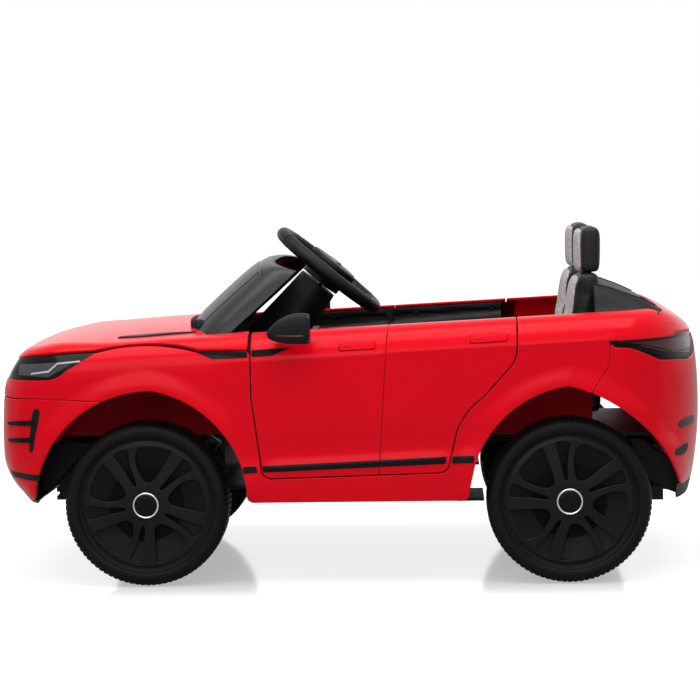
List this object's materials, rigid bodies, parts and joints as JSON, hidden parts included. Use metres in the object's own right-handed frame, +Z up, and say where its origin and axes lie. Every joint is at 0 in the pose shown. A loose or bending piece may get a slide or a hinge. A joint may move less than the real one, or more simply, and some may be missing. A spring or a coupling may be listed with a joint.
{
  "type": "electric ride on car",
  "caption": "Child-size battery ride-on car with SUV body, opening doors, steered front wheels, geared rear wheels, bench seat and low windscreen.",
  "frame": {"origin": "on the floor, at the middle of the length and width; the axles are midway about a point 9 mm behind it", "axes": "+X forward, +Y to the car's left, +Z up"},
  "size_m": [1.033, 0.64, 0.5059],
  "materials": {
    "red_plastic": "gloss",
    "black_plastic": "satin",
    "black_gloss": "gloss",
    "wheel_plastic": "satin",
    "cover_plastic": "satin",
    "steel": "plain",
    "gear_plastic": "matte",
    "clear_lens": "gloss",
    "red_lens": "gloss",
    "mirror": "gloss",
    "leatherette": "satin",
    "grey_fabric": "woven",
    "battery_case": "matte",
    "button_plastic": "gloss"
  },
  "bodies": {
    "chassis": {"battery": "battery_case", "body_side_left": "red_plastic", "body_side_right": "red_plastic", "chassis_tub": "black_plastic", "column_cover": "black_plastic", "control_box": "black_plastic", "dashboard": "black_plastic", "door_hinge_pins": "steel", "drive_motors": "steel", "front_axle_beam": "steel", "front_bumper": "red_plastic", "front_lip": "black_plastic", "gearbox_cases": "black_plastic", "grille": "black_plastic", "head_lamp_housings": "black_plastic", "head_lamp_lenses": "clear_lens", "hood": "red_plastic", "king_pins": "steel", "rear_axle": "steel", "rear_axle_nuts": "steel", "rear_bumper": "red_plastic", "rear_deck_cover": "black_plastic", "rear_diffuser": "black_plastic", "seat_back": "leatherette", "seat_back_pads": "grey_fabric", "seat_cushion": "leatherette", "seat_pan": "black_plastic", "tail_lamp_housings": "black_plastic", "tail_lamp_lenses": "red_lens", "windscreen": "black_gloss"},
    "left_door": {"door_left": "red_plastic", "door_trim_left": "black_plastic", "mirror_left": "black_plastic", "mirror_glass_left": "mirror"},
    "right_door": {"door_right": "red_plastic", "door_trim_right": "black_plastic", "mirror_right": "black_plastic", "mirror_glass_right": "mirror"},
    "steering": {"steering_shaft": "steel", "steering_wheel": "black_plastic", "steering_hub_pad": "black_plastic"},
    "horn": {"horn_button": "button_plastic"},
    "left_knuckle": {"knuckle_left": "steel"},
    "right_knuckle": {"knuckle_right": "steel"},
    "tie_rod": {"tie_rod": "steel"},
    "front_left_wheel": {"front_left_wheel": "wheel_plastic", "front_left_wheel_cover": "cover_plastic"},
    "front_right_wheel": {"front_right_wheel": "wheel_plastic", "front_right_wheel_cover": "cover_plastic"},
    "rear_left_wheel": {"rear_left_wheel": "wheel_plastic", "rear_left_wheel_cover": "cover_plastic", "drive_gear_left": "gear_plastic"},
    "rear_right_wheel": {"rear_right_wheel": "wheel_plastic", "rear_right_wheel_cover": "cover_plastic", "drive_gear_right": "gear_plastic"},
    "left_rotor": {"motor_pinion_left": "gear_plastic"},
    "right_rotor": {"motor_pinion_right": "gear_plastic"},
    "pedal": {"foot_pedal": "black_plastic"},
    "power_button": {"power_button": "button_plastic"},
    "direction_switch": {"direction_switch": "black_plastic"}
  },
  "joints": [
    {"name": "left_door_hinge", "type": "hinge", "parent": "chassis", "child": "left_door", "pos_m": [0.13724, 0.279, 0.312], "axis": [0, 0, -1], "range_deg": [0, 42]},
    {"name": "right_door_hinge", "type": "hinge", "parent": "chassis", "child": "right_door", "pos_m": [0.13724, -0.279, 0.312], "axis": [0, 0, 1], "range_deg": [0, 42]},
    {"name": "steering_turn", "type": "hinge", "parent": "chassis", "child": "steering", "pos_m": [0.03874, 0, 0.44], "axis": [-0.6347, 0, 0.7727], "range_deg": [-40, 40]},
    {"name": "horn_press", "type": "slide", "parent": "steering", "child": "horn", "axis": [0.6347, 0, -0.7727], "range_m": [0, 0.003], "stiffness_N_per_m": 400},
    {"name": "left_knuckle_steer", "type": "hinge", "parent": "chassis", "child": "left_knuckle", "pos_m": [0.29274, 0.16, 0.118], "axis": [0, 0, 1], "range_deg": [-22, 22]},
    {"name": "right_knuckle_steer", "type": "hinge", "parent": "chassis", "child": "right_knuckle", "pos_m": [0.29274, -0.16, 0.118], "axis": [0, 0, 1], "range_deg": [-22, 22]},
    {"name": "tie_rod_pivot", "type": "hinge", "parent": "left_knuckle", "child": "tie_rod", "pos_m": [0.23074, 0.16, 0.118], "axis": [0, 0, 1], "range_deg": [-22, 22]},
    {"name": "front_left_spin", "type": "hinge", "parent": "left_knuckle", "child": "front_left_wheel", "pos_m": [0.29274, 0.233, 0.118], "axis": [0, 1, 0], "continuous": true},
    {"name": "front_right_spin", "type": "hinge", "parent": "right_knuckle", "child": "front_right_wheel", "pos_m": [0.29274, -0.233, 0.118], "axis": [0, 1, 0], "continuous": true},
    {"name": "rear_left_spin", "type": "hinge", "parent": "chassis", "child": "rear_left_wheel", "pos_m": [-0.31126, 0.233, 0.118], "axis": [0, 1, 0], "continuous": true},
    {"name": "rear_right_spin", "type": "hinge", "parent": "chassis", "child": "rear_right_wheel", "pos_m": [-0.31126, -0.233, 0.118], "axis": [0, 1, 0], "continuous": true},
    {"name": "left_rotor_spin", "type": "hinge", "parent": "chassis", "child": "left_rotor", "pos_m": [-0.36842, 0.131, 0.151], "axis": [0, 1, 0], "continuous": true},
    {"name": "right_rotor_spin", "type": "hinge", "parent": "chassis", "child": "right_rotor", "pos_m": [-0.36842, -0.131, 0.151], "axis": [0, 1, 0], "continuous": true},
    {"name": "pedal_press", "type": "hinge", "parent": "chassis", "child": "pedal", "pos_m": [0.11574, -0.095, 0.135], "axis": [0, 1, 0], "range_deg": [0, 12], "stiffness_Nm_per_rad": 6},
    {"name": "power_button_press", "type": "slide", "parent": "chassis", "child": "power_button", "axis": [1, 0, 0], "range_m": [0, 0.003], "stiffness_N_per_m": 400},
    {"name": "direction_switch_rock", "type": "hinge", "parent": "chassis", "child": "direction_switch", "pos_m": [0.11674, -0.15, 0.325], "axis": [0, 1, 0], "range_deg": [-8, 8]}
  ],
  "couplings": [
    {"joint": "left_knuckle_steer", "follows": "steering_turn", "ratio": 0.545},
    {"joint": "right_knuckle_steer", "follows": "steering_turn", "ratio": 0.545},
    {"joint": "tie_rod_pivot", "follows": "steering_turn", "ratio": -0.545},
    {"joint": "left_rotor_spin", "follows": "rear_left_spin", "ratio": -4},
    {"joint": "right_rotor_spin", "follows": "rear_right_spin", "ratio": -4}
  ]
}
